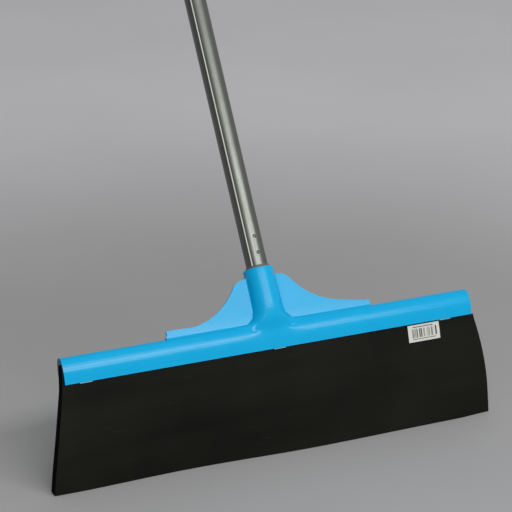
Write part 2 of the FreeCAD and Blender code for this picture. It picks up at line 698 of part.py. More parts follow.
def make_insert():
    """Plastic insert: spigot in the tube, flange, and the thread that screws into the socket."""
    body = pole_body("insert_body")
    half = sketch_on(body, "insert_half", "XZ_Plane")
    tip_round = "Sizes.thread_crest"
    outline(half, [
        ("Sizes.spigot_bore", THREAD_FOOT),
        (f"Sizes.thread_core - {tip_round}", THREAD_FOOT),
        ("Sizes.thread_core", f"{THREAD_FOOT} + {tip_round}"),
        ("Sizes.thread_core", FLANGE_FOOT),
        ("Sizes.flange_radius", FLANGE_FOOT),
        ("Sizes.flange_radius", TUBE_FOOT),
        (f"{TUBE_BORE} - Sizes.spigot_gap", TUBE_FOOT),
        (f"{TUBE_BORE} - Sizes.spigot_gap", f"{TUBE_FOOT} + Sizes.spigot_length"),
        ("Sizes.spigot_bore", f"{TUBE_FOOT} + Sizes.spigot_length"),
    ])
    add_turn(body, half, "insert_turned")
    ridge = sketch_on(body, "thread_ridge", "XZ_Plane")
    thread_profile(ridge, THREAD_FOOT, f"Sizes.thread_core - {THREAD_BITE}",
                   "Sizes.thread_radius", "0")
    add_helix(body, ridge, "insert_thread", "Sizes.thread_length - Sizes.thread_root")

    # the tube's dimples press into the spigot
    pits = []
    for name, height in DIMPLES.items():
        pits.append(dimple_ball(f"pit_{name}", height,
                                "Sizes.dimple_radius + Sizes.pole_wall + Sizes.spigot_gap"))
    both_pits = doc.addObject("Part::MultiFuse", "insert_pits")
    both_pits.Shapes = pits
    insert = doc.addObject("Part::Cut", "thread_insert")
    insert.Base = body
    insert.Tool = both_pits
    insert.Label = "thread_insert"
    doc.recompute()
    return insert


def make_cap():
    """Hanging cap on the pole's top: a skirt round the tube and a flat eye."""
    body = pole_body("hang_cap")
    skirt = sketch_on(body, "skirt_half", "XZ_Plane")
    outside = "(Sizes.pole_radius + Sizes.cap_gap + Sizes.cap_wall)"
    shoulder = "Sizes.cap_top"
    outline(skirt, [
        ("0", f"{TUBE_TOP} + Sizes.cap_gap"),
        ("Sizes.pole_radius + Sizes.cap_gap", f"{TUBE_TOP} + Sizes.cap_gap"),
        ("Sizes.pole_radius + Sizes.cap_gap", f"{TUBE_TOP} - Sizes.cap_skirt"),
        (outside, f"{TUBE_TOP} - Sizes.cap_skirt"),
        (outside, f"{TUBE_TOP} + Sizes.cap_gap", shoulder),
        (f"{outside} - {shoulder}", f"{TUBE_TOP} + Sizes.cap_gap + {shoulder}"),
        ("0", f"{TUBE_TOP} + Sizes.cap_gap + {shoulder}"),
    ])
    add_turn(body, skirt, "skirt")
    hole_up = f"({TUBE_TOP} + Sizes.cap_top + Sizes.eye_rise)"
    eye = sketch_on(body, "eye_outline", "XZ_Plane")
    outline(eye, [
        ("Sizes.eye_radius", f"{TUBE_TOP} + Sizes.cap_top / 2"),
        ("Sizes.eye_radius", hole_up, "Sizes.eye_radius", "right"),
        ("0", f"{hole_up} + Sizes.eye_radius", "Sizes.eye_radius", "right"),
        ("-Sizes.eye_radius", hole_up),
        ("-Sizes.eye_radius", f"{TUBE_TOP} + Sizes.cap_top / 2"),
    ])
    add_pad(body, eye, "eye", "Sizes.eye_thickness")
    hole = sketch_on(body, "eye_hole_circle", "XZ_Plane")
    circle(hole, "0", hole_up, "Sizes.eye_hole")
    add_cut(body, hole, "eye_hole")
    return body


def check_and_write(pieces):
    """Refuse failed objects and broken shapes, then write one STEP file to a piece."""
    doc.recompute()
    for thing in doc.Objects:
        bad = [state for state in thing.State if state in ("Invalid", "Error")]
        if bad:
            raise RuntimeError(f"{thing.Label} is {bad}")
    os.makedirs("parts", exist_ok=True)
    for piece in pieces:
        shape = piece.Shape
        if shape.isNull() or not shape.isValid() or not shape.Solids:
            raise RuntimeError(f"{piece.Label} has no valid solid")
        shape.exportStep(os.path.join("parts", f"{piece.Label}.step"))
        box = shape.BoundBox
        print(f"{piece.Label}: {len(shape.Solids)} solid, {shape.Volume / 1000:.2f} cm3, "
              f"X {box.XMin:.1f}..{box.XMax:.1f} Y {box.YMin:.1f}..{box.YMax:.1f} "
              f"Z {box.ZMin:.1f}..{box.ZMax:.1f}")


def main():
    pieces = [make_head(), make_blade(), make_label()]
    for place_name in WEDGES:
        pieces.append(make_wedge(place_name))
    pieces += [make_washer(), make_insert(), make_pole_tube(), make_cap()]
    check_and_write(pieces)


main()
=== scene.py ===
# %% [markdown]
# # A floor squeegee
# The real thing is a wide foam blade held in a blue plastic head, on a metal pole that screws
# into the head's socket. The solid pieces come ready made in a frame that is loaded first. This
# lesson gives them their finishes, softens the foot of the socket on a copy of the head, and
# builds anew the one soft piece, the foam blade.

# %% Load the frame
import math

import bmesh
import bpy
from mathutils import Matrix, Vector


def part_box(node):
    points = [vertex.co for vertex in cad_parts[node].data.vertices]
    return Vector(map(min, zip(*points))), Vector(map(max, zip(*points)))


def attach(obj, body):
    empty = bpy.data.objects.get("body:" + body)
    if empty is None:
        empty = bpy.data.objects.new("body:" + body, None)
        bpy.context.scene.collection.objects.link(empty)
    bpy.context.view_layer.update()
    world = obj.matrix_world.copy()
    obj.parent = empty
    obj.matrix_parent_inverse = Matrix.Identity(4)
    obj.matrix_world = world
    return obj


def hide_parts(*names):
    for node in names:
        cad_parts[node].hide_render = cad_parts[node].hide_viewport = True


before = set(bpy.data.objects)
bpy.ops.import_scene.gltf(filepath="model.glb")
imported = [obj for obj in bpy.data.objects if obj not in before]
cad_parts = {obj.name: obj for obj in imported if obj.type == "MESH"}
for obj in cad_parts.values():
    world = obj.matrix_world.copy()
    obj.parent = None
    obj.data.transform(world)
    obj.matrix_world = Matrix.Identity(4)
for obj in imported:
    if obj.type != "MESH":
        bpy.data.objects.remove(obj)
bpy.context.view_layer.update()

MM = 0.001
print("nodes:", ", ".join(sorted(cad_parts)))

# %% [markdown]
# ## Small helpers for materials
# Colours are easiest to choose as the hex codes that paint programs show, but shaders add up
# light, which needs linear numbers. One function turns one into the other. A second one adds a
# node with its settings, values and links in one go, so that a material reads from top to bottom.

# %% Colours and nodes
def linear(hex_code):
    """sRGB hex code to the linear colour that a shader takes."""
    channels = []
    for start in (0, 2, 4):
        value = int(hex_code[start:start + 2], 16) / 255
        channels.append(value / 12.92 if value <= 0.04045 else ((value + 0.055) / 1.055) ** 2.4)
    return (*channels, 1.0)


def add_node(tree, kind, inputs=None, **settings):
    """Add a shader node. An input is a number, a colour, or the output of another node."""
    node = tree.nodes.new(kind)
    for name, value in settings.items():
        setattr(node, name, value)
    for socket, value in (inputs or {}).items():
        if isinstance(value, bpy.types.NodeSocket):
            tree.links.new(value, node.inputs[socket])
        else:
            node.inputs[socket].default_value = value
    return node


def new_material(name):
    """A new material, its node tree and its shader."""
    material = bpy.data.materials.new(name)
    material.use_nodes = True
    tree = material.node_tree
    return material, tree, tree.nodes["Principled BSDF"]


def between(tree, value, low, high):
    """1 where a value lies between two limits, otherwise 0."""
    above = add_node(tree, "ShaderNodeMath", {0: value, 1: low}, operation="GREATER_THAN")
    below = add_node(tree, "ShaderNodeMath", {0: value, 1: high}, operation="LESS_THAN")
    both = add_node(tree, "ShaderNodeMath",
                    {0: above.outputs["Value"], 1: below.outputs["Value"]}, operation="MULTIPLY")
    return both.outputs["Value"]


def multiply(tree, first, second):
    """Product of two values."""
    product = add_node(tree, "ShaderNodeMath", {0: first, 1: second}, operation="MULTIPLY")
    return product.outputs["Value"]


print("a mid grey, 808080, is", [round(c, 3) for c in linear("808080")[:3]])

# %% [markdown]
# ## Moulded polypropylene
# The head is injection moulded from polypropylene, coloured right through. Its skin copies the
# satin steel of the mould, so highlights are wide and soft, with a faint waviness where the
# plastic shrank over thicker places. Two noise textures give that, one as fine as the mould's
# satin and one as wide as the sink marks; a flat blue would look like paint. The socket and the
# web look duller than the hood, so the roughness grows with the height above it, measured along
# the pole. The narrow faces at the left ends of the web and of the channel lie in deep shade, so
# a face there that looks to the left is painted a deep navy as painted shade. This shade is
# painted on and doesn't come from the lamp, so it shows from every side.

# %% Blue polypropylene
SATIN_GRAIN = 0.9 * MM            # drawn coarser than the real 0.1 mm, so that it shows at all
SINK_WAVE = 22 * MM
POLE_LEAN = math.radians(32)
POLE_FRONT = Vector((0, -math.cos(POLE_LEAN), math.sin(POLE_LEAN)))
POLE_WAY = Vector((0, math.sin(POLE_LEAN), math.cos(POLE_LEAN)))
CROWN = Vector((0, 22.53, 131.50)) * MM      # where the pole's axis meets the top of the hood
HOOD_GLOSS = (0.21, 0.27)         # least and greatest roughness of the hood
UPPER_ROUGHNESS = 0.31            # of the socket and the web, which look duller
DULL_RISE = 12 * MM               # above the hood, until the duller finish is reached
OPEN_END = -112 * MM              # the left ends of the web and the channel lie beyond this
LOOKS_LEFT = -0.9                 # X of a face's normal, from which it counts as looking left
# colour of the painted shade on faces at the left ends that look to the left
END_SHADE_HEX = "004A70"


def moulded_polypropylene(name, light_hex, deep_hex):
    """Satin injection moulding in two near tones of one colour, with painted shade at its left
    ends.
    """
    material, tree, shader = new_material(name)
    coordinates = add_node(tree, "ShaderNodeTexCoord")
    place = coordinates.outputs["Object"]
    wave = add_node(tree, "ShaderNodeTexNoise",
                    {"Vector": place, "Scale": 1 / SINK_WAVE, "Detail": 2.0})
    grain = add_node(tree, "ShaderNodeTexNoise",
                     {"Vector": place, "Scale": 1 / SATIN_GRAIN, "Detail": 3.0})
    tone = add_node(tree, "ShaderNodeMix",
                    {"Factor": wave.outputs["Fac"], "A": linear(deep_hex), "B": linear(light_hex)},
                    data_type="RGBA")
    gloss = add_node(tree, "ShaderNodeMapRange",
                     {"Value": wave.outputs["Fac"], "From Min": 0.3, "From Max": 0.7,
                      "To Min": HOOD_GLOSS[0], "To Max": HOOD_GLOSS[1]})
    from_crown = add_node(tree, "ShaderNodeVectorMath", {0: place, 1: CROWN},
                          operation="SUBTRACT").outputs["Vector"]
    above_crown = add_node(tree, "ShaderNodeVectorMath", {0: from_crown, 1: POLE_WAY},
                           operation="DOT_PRODUCT").outputs["Value"]
    upper = add_node(tree, "ShaderNodeMapRange",
                     {"Value": above_crown, "From Min": 0.0, "From Max": DULL_RISE})
    roughness = add_node(tree, "ShaderNodeMix",
                         {"Factor": upper.outputs["Result"], "A": gloss.outputs["Result"],
                          "B": UPPER_ROUGHNESS}, data_type="FLOAT")
    parts = add_node(tree, "ShaderNodeSeparateXYZ", {"Vector": place})
    facing = add_node(tree, "ShaderNodeSeparateXYZ", {"Vector": coordinates.outputs["Normal"]})
    # painted shade: a face at the left ends that looks to the left is painted deep navy
    in_end_shade = multiply(tree, between(tree, facing.outputs["X"], -2.0, LOOKS_LEFT),
                      between(tree, parts.outputs["X"], -1.0, OPEN_END))
    painted_end_shade = add_node(tree, "ShaderNodeMix",
                        {"Factor": in_end_shade, "A": tone.outputs["Result"], "B": linear(END_SHADE_HEX)},
                        data_type="RGBA")
    sink = add_node(tree, "ShaderNodeBump",
                    {"Height": wave.outputs["Fac"], "Strength": 0.25, "Distance": 0.6 * MM})
    satin = add_node(tree, "ShaderNodeBump",
                     {"Height": grain.outputs["Fac"], "Strength": 0.12, "Distance": 0.1 * MM,
                      "Normal": sink.outputs["Normal"]})
    tree.links.new(painted_end_shade.outputs["Result"], shader.inputs["Base Color"])
    tree.links.new(roughness.outputs["Result"], shader.inputs["Roughness"])
    tree.links.new(satin.outputs["Normal"], shader.inputs["Normal"])
    shader.inputs["IOR"].default_value = 1.49
    shader.inputs["Specular IOR Level"].default_value = 0.25
    return material


blue_polypropylene = moulded_polypropylene("moulded blue polypropylene", "00AADE", "00A3D9")
# the wedges are painted pale blue: the pale tone is a painted highlight for their glints under the
# lip
glint_pale_polypropylene = moulded_polypropylene("blue polypropylene painted pale for glints", "A9D3E6", "97C6DC")
print("made", blue_polypropylene.name, "and", glint_pale_polypropylene.name)

# %% [markdown]
# ## Closed-cell foam
# The blade is a sheet of closed-cell EVA foam, sliced from a block. The sliced faces have a dull
# skin with fine closed pores and very weak bands from the knife, and they pick up pale dust and
# rubs in use. The cut edges show the open cells and are painted near black: partly the dark of
# the open pores, partly painted shade, as the blade's cut ends lie in shade. So the sheet gets
# two materials, one for the skin and one for the cut edges.

# %% Foam skin and cut edge
PORE = 1.1 * MM                   # real pores are 0.3 mm, drawn as coarse as they need to show
KNIFE_BAND = 34 * MM
CLOUD = 90 * MM
BAND_DRAWN_OUT = (0.08, 1.0, 1.0)           # a band is twelve times as long as it is high
RUB_SCALE = 4.0
RUB_STRETCH = (9.0, 1.0, 160.0)             # with that scale, 28 mm long and under 2 mm high
RUB_SLOPE = 0.16                            # in radians


def foam_skin():
    """Dull sliced face of the foam, with knife bands, cloudy wear and faint rubs."""
    material, tree, shader = new_material("sliced black EVA foam")
    place = add_node(tree, "ShaderNodeTexCoord").outputs["Object"]
    pores = add_node(tree, "ShaderNodeTexVoronoi", {"Vector": place, "Scale": 1 / PORE})
    # bands and rubs run along the blade, so their pattern is drawn out along X
    along = add_node(tree, "ShaderNodeMapping", {"Vector": place, "Scale": BAND_DRAWN_OUT})
    bands = add_node(tree, "ShaderNodeTexNoise",
                     {"Vector": along.outputs["Vector"], "Scale": 1 / KNIFE_BAND, "Detail": 3.0,
                      "Roughness": 0.45})
    clouds = add_node(tree, "ShaderNodeTexNoise",
                      {"Vector": place, "Scale": 1 / CLOUD, "Detail": 2.0})
    wear = add_node(tree, "ShaderNodeMath",
                    {0: bands.outputs["Fac"], 1: clouds.outputs["Fac"]}, operation="ADD")
    shade = add_node(tree, "ShaderNodeMapRange",
                     {"Value": wear.outputs["Value"], "From Min": 0.75, "From Max": 1.25})
    tone = add_node(tree, "ShaderNodeMix",
                    {"Factor": shade.outputs["Result"], "A": linear("0E0F0A"),
                     "B": linear("191A14")}, data_type="RGBA")
    # a rub is a short pale streak, where a stretched noise rises above a high level
    streak = add_node(tree, "ShaderNodeMapping",
                      {"Vector": place, "Scale": RUB_STRETCH, "Rotation": (0, RUB_SLOPE, 0)})
    rubs = add_node(tree, "ShaderNodeTexNoise",
                    {"Vector": streak.outputs["Vector"], "Scale": RUB_SCALE, "Detail": 4.0})
    rubbed = add_node(tree, "ShaderNodeMapRange",
                      {"Value": rubs.outputs["Fac"], "From Min": 0.66, "From Max": 0.82,
                       "To Max": 0.35})
    dusty = add_node(tree, "ShaderNodeMix",
                     {"Factor": rubbed.outputs["Result"], "A": tone.outputs["Result"],
                      "B": linear("4A4A42")}, data_type="RGBA")
    bump = add_node(tree, "ShaderNodeBump",
                    {"Height": pores.outputs["Distance"], "Strength": 0.25, "Distance": 0.15 * MM})
    tree.links.new(dusty.outputs["Result"], shader.inputs["Base Color"])
    tree.links.new(bump.outputs["Normal"], shader.inputs["Normal"])
    shader.inputs["Roughness"].default_value = 0.8
    shader.inputs["IOR"].default_value = 1.35
    shader.inputs["Specular IOR Level"].default_value = 0.25
    return material


def shaded_foam_cut():
    """Cut edge of the foam, with open cells and painted shade."""
    material, tree, shader = new_material("cut edge of EVA foam")
    place = add_node(tree, "ShaderNodeTexCoord").outputs["Object"]
    cells = add_node(tree, "ShaderNodeTexVoronoi", {"Vector": place, "Scale": 1 / PORE})
    # painted shade: the near-black tone is partly the open cells, partly shade painted on
    tone = add_node(tree, "ShaderNodeMix",
                    {"Factor": cells.outputs["Distance"], "A": linear("020202"),
                     "B": linear("0A0A09")}, data_type="RGBA")
    bump = add_node(tree, "ShaderNodeBump",
                    {"Height": cells.outputs["Distance"], "Strength": 0.6, "Distance": 0.4 * MM})
    tree.links.new(tone.outputs["Result"], shader.inputs["Base Color"])
    tree.links.new(bump.outputs["Normal"], shader.inputs["Normal"])
    shader.inputs["Roughness"].default_value = 0.95
    shader.inputs["IOR"].default_value = 1.3
    shader.inputs["Specular IOR Level"].default_value = 0.1
    return material


skin_foam = foam_skin()
shaded_cut_foam = shaded_foam_cut()
print("made", skin_foam.name, "and", shaded_cut_foam.name)

# %% [markdown]
# ## Welded steel tube
# The pole is rolled from thin steel strip, welded along its length, and drawn through a die. The
# die leaves fine lines along the tube, and the scarfed weld shows as one bright thin line. The
# lines are a noise that is drawn out along the tube. Both follow the tube, so its leaning place is
# turned upright first, with a Mapping node. The weld's ground bead is less metallic and rougher
# than the drawn skin beside it, and painted near white: partly its own paler tone, partly a
# painted highlight for the bright line.

# %% Steel tube
DRAW_LINE = 0.7 * MM              # real draw lines are finer, drawn as coarse as they show
LINE_DRAWN_OUT = 0.012            # a line is eighty times as long as it is wide
STAIN = 14 * MM
WELD_ANGLE = math.radians(-47.5)  # round the tube, from its front towards -X
WELD_HALF = 0.045                 # half the weld's width, as a share of the tube's radius
WELD_ROUGHNESS = 0.55


def drawn_steel():
    """Bare drawn steel with die lines and one longitudinal weld, painted pale with a painted
    highlight.
    """
    material, tree, shader = new_material("drawn welded steel tube")
    place = add_node(tree, "ShaderNodeTexCoord").outputs["Object"]
    # upright frame of the tube: Z runs along its axis
    centred = add_node(tree, "ShaderNodeVectorMath", {0: place, 1: CROWN}, operation="SUBTRACT")
    upright = add_node(tree, "ShaderNodeMapping",
                       {"Vector": centred.outputs["Vector"], "Rotation": (POLE_LEAN, 0, 0)})
    lines = add_node(tree, "ShaderNodeMapping",
                     {"Vector": upright.outputs["Vector"], "Scale": (1, 1, LINE_DRAWN_OUT)})
    draw = add_node(tree, "ShaderNodeTexNoise",
                    {"Vector": lines.outputs["Vector"], "Scale": 1 / DRAW_LINE, "Detail": 2.0})
    stain = add_node(tree, "ShaderNodeTexNoise",
                     {"Vector": upright.outputs["Vector"], "Scale": 1 / STAIN, "Detail": 4.0})
    # the weld is where the direction round the axis is close to the weld's own
    flat = add_node(tree, "ShaderNodeVectorMath",
                    {0: upright.outputs["Vector"], 1: (1, 1, 0)}, operation="MULTIPLY")
    way = add_node(tree, "ShaderNodeVectorMath", {0: flat.outputs["Vector"]},
                   operation="NORMALIZE")
    weld_way = (math.sin(WELD_ANGLE), -math.cos(WELD_ANGLE), 0)
    off = add_node(tree, "ShaderNodeVectorMath",
                   {0: way.outputs["Vector"], 1: weld_way}, operation="DISTANCE")
    weld_and_highlight = add_node(tree, "ShaderNodeMapRange",
                    {"Value": off.outputs["Value"], "From Min": WELD_HALF,
                     "From Max": 1.6 * WELD_HALF, "To Min": 1.0, "To Max": 0.0})
    metal = add_node(tree, "ShaderNodeMix",
                     {"Factor": stain.outputs["Fac"], "A": linear("6C6E69"),
                      "B": linear("7C7E79")}, data_type="RGBA")
    # painted highlight: the weld's near-white tone is partly its own paler bead, partly painted
    # light
    tone = add_node(tree, "ShaderNodeMix",
                    {"Factor": weld_and_highlight.outputs["Result"], "A": metal.outputs["Result"],
                     "B": linear("E8EAE2")}, data_type="RGBA")
    rough = add_node(tree, "ShaderNodeMapRange",
                     {"Value": draw.outputs["Fac"], "From Min": 0.3, "From Max": 0.7,
                      "To Min": 0.34, "To Max": 0.46})
    metallic = add_node(tree, "ShaderNodeMapRange",
                        {"Value": weld_and_highlight.outputs["Result"], "To Min": 1.0, "To Max": 0.2})
    rougher = add_node(tree, "ShaderNodeMath",
                       {0: rough.outputs["Result"], 1: weld_and_highlight.outputs["Result"]},
                       operation="MAXIMUM", use_clamp=True)
    weld_rough = add_node(tree, "ShaderNodeMath",
                          {0: rougher.outputs["Value"], 1: WELD_ROUGHNESS}, operation="MINIMUM")
    bump = add_node(tree, "ShaderNodeBump",
                    {"Height": draw.outputs["Fac"], "Strength": 0.18, "Distance": 0.1 * MM})
    tree.links.new(tone.outputs["Result"], shader.inputs["Base Color"])
    tree.links.new(weld_rough.outputs["Value"], shader.inputs["Roughness"])
    tree.links.new(bump.outputs["Normal"], shader.inputs["Normal"])
    tree.links.new(metallic.outputs["Result"], shader.inputs["Metallic"])
    return material


steel = drawn_steel()
print("made", steel.name)

# %% [markdown]
# ## Grey nylon
# The thread insert and its stop washer are moulded in dull grey nylon. Only a thin ring of them
# shows, between the socket and the tube, where grime settles. A mottled grey-brown with a rough
# surface is enough for it.

# %% Grey nylon
GRIME_SPOT = 3 * MM


def moulded_nylon():
    """Dull grey-brown moulding with grime."""
    material, tree, shader = new_material("moulded grey nylon")
    place = add_node(tree, "ShaderNodeTexCoord").outputs["Object"]
    grime = add_node(tree, "ShaderNodeTexNoise",
                     {"Vector": place, "Scale": 1 / GRIME_SPOT, "Detail": 3.0})
    tone = add_node(tree, "ShaderNodeMix",
                    {"Factor": grime.outputs["Fac"], "A": linear("4E4740"),
                     "B": linear("7D746A")}, data_type="RGBA")
    bump = add_node(tree, "ShaderNodeBump",
                    {"Height": grime.outputs["Fac"], "Strength": 0.2, "Distance": 0.2 * MM})
    tree.links.new(tone.outputs["Result"], shader.inputs["Base Color"])
    tree.links.new(bump.outputs["Normal"], shader.inputs["Normal"])
    shader.inputs["Roughness"].default_value = 0.6
    shader.inputs["IOR"].default_value = 1.53
    return material


nylon = moulded_nylon()
print("made", nylon.name)

# %% [markdown]
# ## Printed label
# A small coated paper label is stuck on the foam below the head. A real one carries print that
# belongs to its maker, so this one has only plain bars: upright ones of uneven width, a thin
# line above and below them, and a short block at the right. White noise on a stepped coordinate
# gives bars that differ from each other without a list of widths.

# %% Label paper
label_low, label_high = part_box("blade_label")
BAR_STEP = 0.28 * MM
PAPER_FIBRE = 2 * MM


def label_paper():
    """White coated paper with plain dark bars."""
    material, tree, shader = new_material("coated paper label")
    place = add_node(tree, "ShaderNodeTexCoord").outputs["Object"]
    axes = add_node(tree, "ShaderNodeSeparateXYZ", {"Vector": place})
    across = add_node(tree, "ShaderNodeMapRange",
                      {"Value": axes.outputs["X"], "From Min": label_low.x,
                       "From Max": label_high.x}).outputs["Result"]
    up = add_node(tree, "ShaderNodeMapRange",
                  {"Value": axes.outputs["Z"], "From Min": label_low.z,
                   "From Max": label_high.z}).outputs["Result"]
    step = add_node(tree, "ShaderNodeMath", {0: axes.outputs["X"], 1: BAR_STEP}, operation="SNAP")
    chance = add_node(tree, "ShaderNodeTexWhiteNoise", {"W": step.outputs["Value"]},
                      noise_dimensions="1D")
    dark = add_node(tree, "ShaderNodeMath", {0: chance.outputs["Value"], 1: 0.5},
                    operation="GREATER_THAN").outputs["Value"]
    # each mark lies between two shares of the label's width and two of its height
    bars = multiply(tree, dark, multiply(tree, between(tree, across, 0.12, 0.80),
                                         between(tree, up, 0.24, 0.77)))
    block = multiply(tree, between(tree, across, 0.86, 0.91), between(tree, up, 0.26, 0.80))
    line_above = multiply(tree, between(tree, across, 0.16, 0.80), between(tree, up, 0.84, 0.89))
    line_below = multiply(tree, between(tree, across, 0.12, 0.88), between(tree, up, 0.14, 0.18))
    print_mask = bars
    for mark in (block, line_above, line_below):
        print_mask = add_node(tree, "ShaderNodeMath", {0: print_mask, 1: mark},
                              operation="MAXIMUM").outputs["Value"]
    fibre = add_node(tree, "ShaderNodeTexNoise",
                     {"Vector": place, "Scale": 1 / PAPER_FIBRE, "Detail": 3.0})
    paper = add_node(tree, "ShaderNodeMix",
                     {"Factor": fibre.outputs["Fac"], "A": linear("C6C7BE"),
                      "B": linear("D6D8CE")}, data_type="RGBA")
    tone = add_node(tree, "ShaderNodeMix",
                    {"Factor": print_mask, "A": paper.outputs["Result"],
                     "B": linear("4A4C49")}, data_type="RGBA")
    tree.links.new(tone.outputs["Result"], shader.inputs["Base Color"])
    shader.inputs["Roughness"].default_value = 0.55
    shader.inputs["IOR"].default_value = 1.45
    return material


paper_label = label_paper()
print("label is", round((label_high.x - label_low.x) / MM, 1), "mm wide")

# %% [markdown]
# ## Dress the ready-made pieces
# Each loaded piece keeps its mesh and gets a finish in its material slots.

# %% Give every loaded piece its finish
FINISHES = {
    "head": blue_polypropylene,
    # the wedges' pale tone is a painted highlight
    "blade_wedge_left": glint_pale_polypropylene,
    "blade_wedge_middle": glint_pale_polypropylene,
    "blade_wedge_right": glint_pale_polypropylene,
    "blade_label": paper_label,
    "stop_washer": nylon,
    "thread_insert": nylon,
    "pole_tube": steel,
    "hang_cap": blue_polypropylene,
}
for node_name, finish in FINISHES.items():
    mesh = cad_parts[node_name].data
    mesh.materials.clear()
    mesh.materials.append(finish)
print("dressed", len(FINISHES), "pieces")

# %% [markdown]
# ## A softer copy of the head
# On the real head the socket runs out into the hood in one soft sweep, without any line. The
# loaded head has a narrow fillet there. A wider fillet isn't enough, because the sweep has no one
# radius: it is wide in front and closes up towards the web. Smoothing the points of the skin
# gives such a sweep by itself, once there are enough of them, so a copy of the head is first
# sliced into a fine grid round the foot of the socket. The web is sliced as well, every few
# millimetres, so that its edge can be bent later. Slicing changes no shape.

# %% Slice a copy of the head
FOOT_CENTRE = Vector((0, 11, 127)) * MM      # in front of the crown, where the fold is deepest
PATCH_RADIUS = 36 * MM
GRID_STEP = 1.6 * MM
LARGE_FACE = 40 * MM * MM         # a face larger than this is sliced wherever it lies
CHANNEL_LEAN = math.radians(20)
CHANNEL_FRONT = Vector((0, -math.cos(CHANNEL_LEAN), math.sin(CHANNEL_LEAN)))
CHANNEL_WAY = Vector((0, math.sin(CHANNEL_LEAN), math.cos(CHANNEL_LEAN)))
WEB_SLICE = 6 * MM
WEB_SLICES = 18                   # to each side of the middle
WEB_HALF = 1.7 * MM               # half the web's thickness and a little more


def slice_faces(mesh, faces, spot, way):
    """Cut some faces of a mesh along a plane, and take nothing away."""
    edges = {edge for face in faces for edge in face.edges}
    verts = {vert for face in faces for vert in face.verts}
    bmesh.ops.bisect_plane(mesh, geom=[*verts, *edges, *faces], plane_co=spot, plane_no=way,
                           dist=0.001 * MM)


head_mesh = bmesh.new()
head_mesh.from_mesh(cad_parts["head"].data)
bmesh.ops.remove_doubles(head_mesh, verts=head_mesh.verts, dist=0.002 * MM)
grid_steps = int(PATCH_RADIUS / GRID_STEP)
for axis, way in ((0, (1, 0, 0)), (2, (0, 0, 1))):
    for step in range(-grid_steps, grid_steps + 1):
        near = [face for face in head_mesh.faces
                if (face.calc_center_median() - FOOT_CENTRE).length < PATCH_RADIUS * 1.1
                or face.calc_area() > LARGE_FACE]
        spot = FOOT_CENTRE.copy()
        spot[axis] += step * GRID_STEP
        slice_faces(head_mesh, near, spot, way)
for step in range(-WEB_SLICES, WEB_SLICES + 1):
    web = [face for face in head_mesh.faces
           if abs((face.calc_center_median() - CROWN).dot(POLE_FRONT)) < WEB_HALF]
    slice_faces(head_mesh, web, (WEB_SLICE * step, 0, 0), (1, 0, 0))
bmesh.ops.dissolve_degenerate(head_mesh, dist=0.02 * MM, edges=head_mesh.edges)
bmesh.ops.triangulate(head_mesh, faces=[face for face in head_mesh.faces if len(face.verts) > 4])
print("the copy has", len(head_mesh.faces), "faces after slicing")

# %% [markdown]
# The real socket is a little thicker than the loaded one, and the upper edge of its web isn't
# even: it sags to the left of the socket, bulges a little to the right of it, and stands up at
# its left tip. Points round the socket are moved away from the pole's axis, and points of the web
# along the pole. Each move fades in, so that no line shows where it begins, and the bore stays as
# it is. A short list says how far the web's edge is raised, from place to place.

# %% Thicken the socket and bend the web's edge
SOCKET_GROWTH = 0.9               # this and the next lengths are in millimetres
GROWS_ABOVE = 4                   # height over the crown, along the pole
GROWS_OVER = 12                   # until the socket has its full growth
BORE_SIDE = 13.0                  # nearer the axis lies the bore
GROWS_WITHIN = 20                 # from the axis; points further out stay
GROWTH_FADE = 3.5
WEB_SLAB = 1.6                    # a point of the web is no further from its middle
WEB_FOOT = 1.5                    # height over the crown below which the web stays
WEB_RISE = 5                      # until the web is moved by the whole lift
SOCKET_HALF = 15.5                # points nearer the middle belong to the socket
SOCKET_FADE = 3
TIP_FROM = -104                   # the left tip is drawn in beyond this place
TIP_FADE = 9
TIP_DRAWN_IN = 1.5
# places along the head, and how far the web's edge is raised there
WEB_LIFT = [(-113, 1.3), (-78, -2.4), (-30, -1.3), (0, 0.0), (67, 0.9), (113, -0.9)]


def soft_step(share):
    """0 below 0, 1 above 1 and a soft step between."""
    share = min(max(share, 0), 1)
    return share * share * (3 - 2 * share)


def along_list(places, across, step):
    """Value between the two nearest places of a list, joined by a kind of step."""
    across_mm = min(max(across / MM, places[0][0]), places[-1][0])
    for (left, start), (right, end) in zip(places, places[1:]):
        if across_mm <= right:
            return (start + (end - start) * step((across_mm - left) / (right - left))) * MM


for vert in head_mesh.verts:
    from_crown = vert.co - CROWN
    along_pole = from_crown.dot(POLE_WAY)
    off_axis = from_crown - POLE_WAY * along_pole
    if off_axis.length > BORE_SIDE * MM and along_pole > GROWS_ABOVE * MM:
        growth = soft_step((along_pole / MM - GROWS_ABOVE) / GROWS_OVER)
        growth *= soft_step((GROWS_WITHIN - off_axis.length / MM) / GROWTH_FADE)
        vert.co += off_axis.normalized() * growth * SOCKET_GROWTH * MM
    if abs(from_crown.dot(POLE_FRONT)) < WEB_SLAB * MM and along_pole > WEB_FOOT * MM:
        rise = min((along_pole - WEB_FOOT * MM) / (WEB_RISE * MM), 1)
        rise *= soft_step((abs(vert.co.x) / MM - SOCKET_HALF) / SOCKET_FADE)
        vert.co += POLE_WAY * along_list(WEB_LIFT, vert.co.x, soft_step) * rise
        vert.co.x += soft_step((TIP_FROM - vert.co.x / MM) / TIP_FADE) * TIP_DRAWN_IN * MM
print("socket", SOCKET_GROWTH, "mm thicker all round, web's edge bent at", len(WEB_LIFT), "places")

# %% [markdown]
# Now the fold is filled. A point lies in a hollow where the middle of its neighbours stands
# outside the skin, and only such points are drawn towards their neighbours: the fold fills up
# and no edge beside it wears away. A few rounds on all points of the patch then make it even,
# more of them near its middle than near its border, so that no new line appears there. The web,
# the cavity for the foam and the bore have no place in the patch.

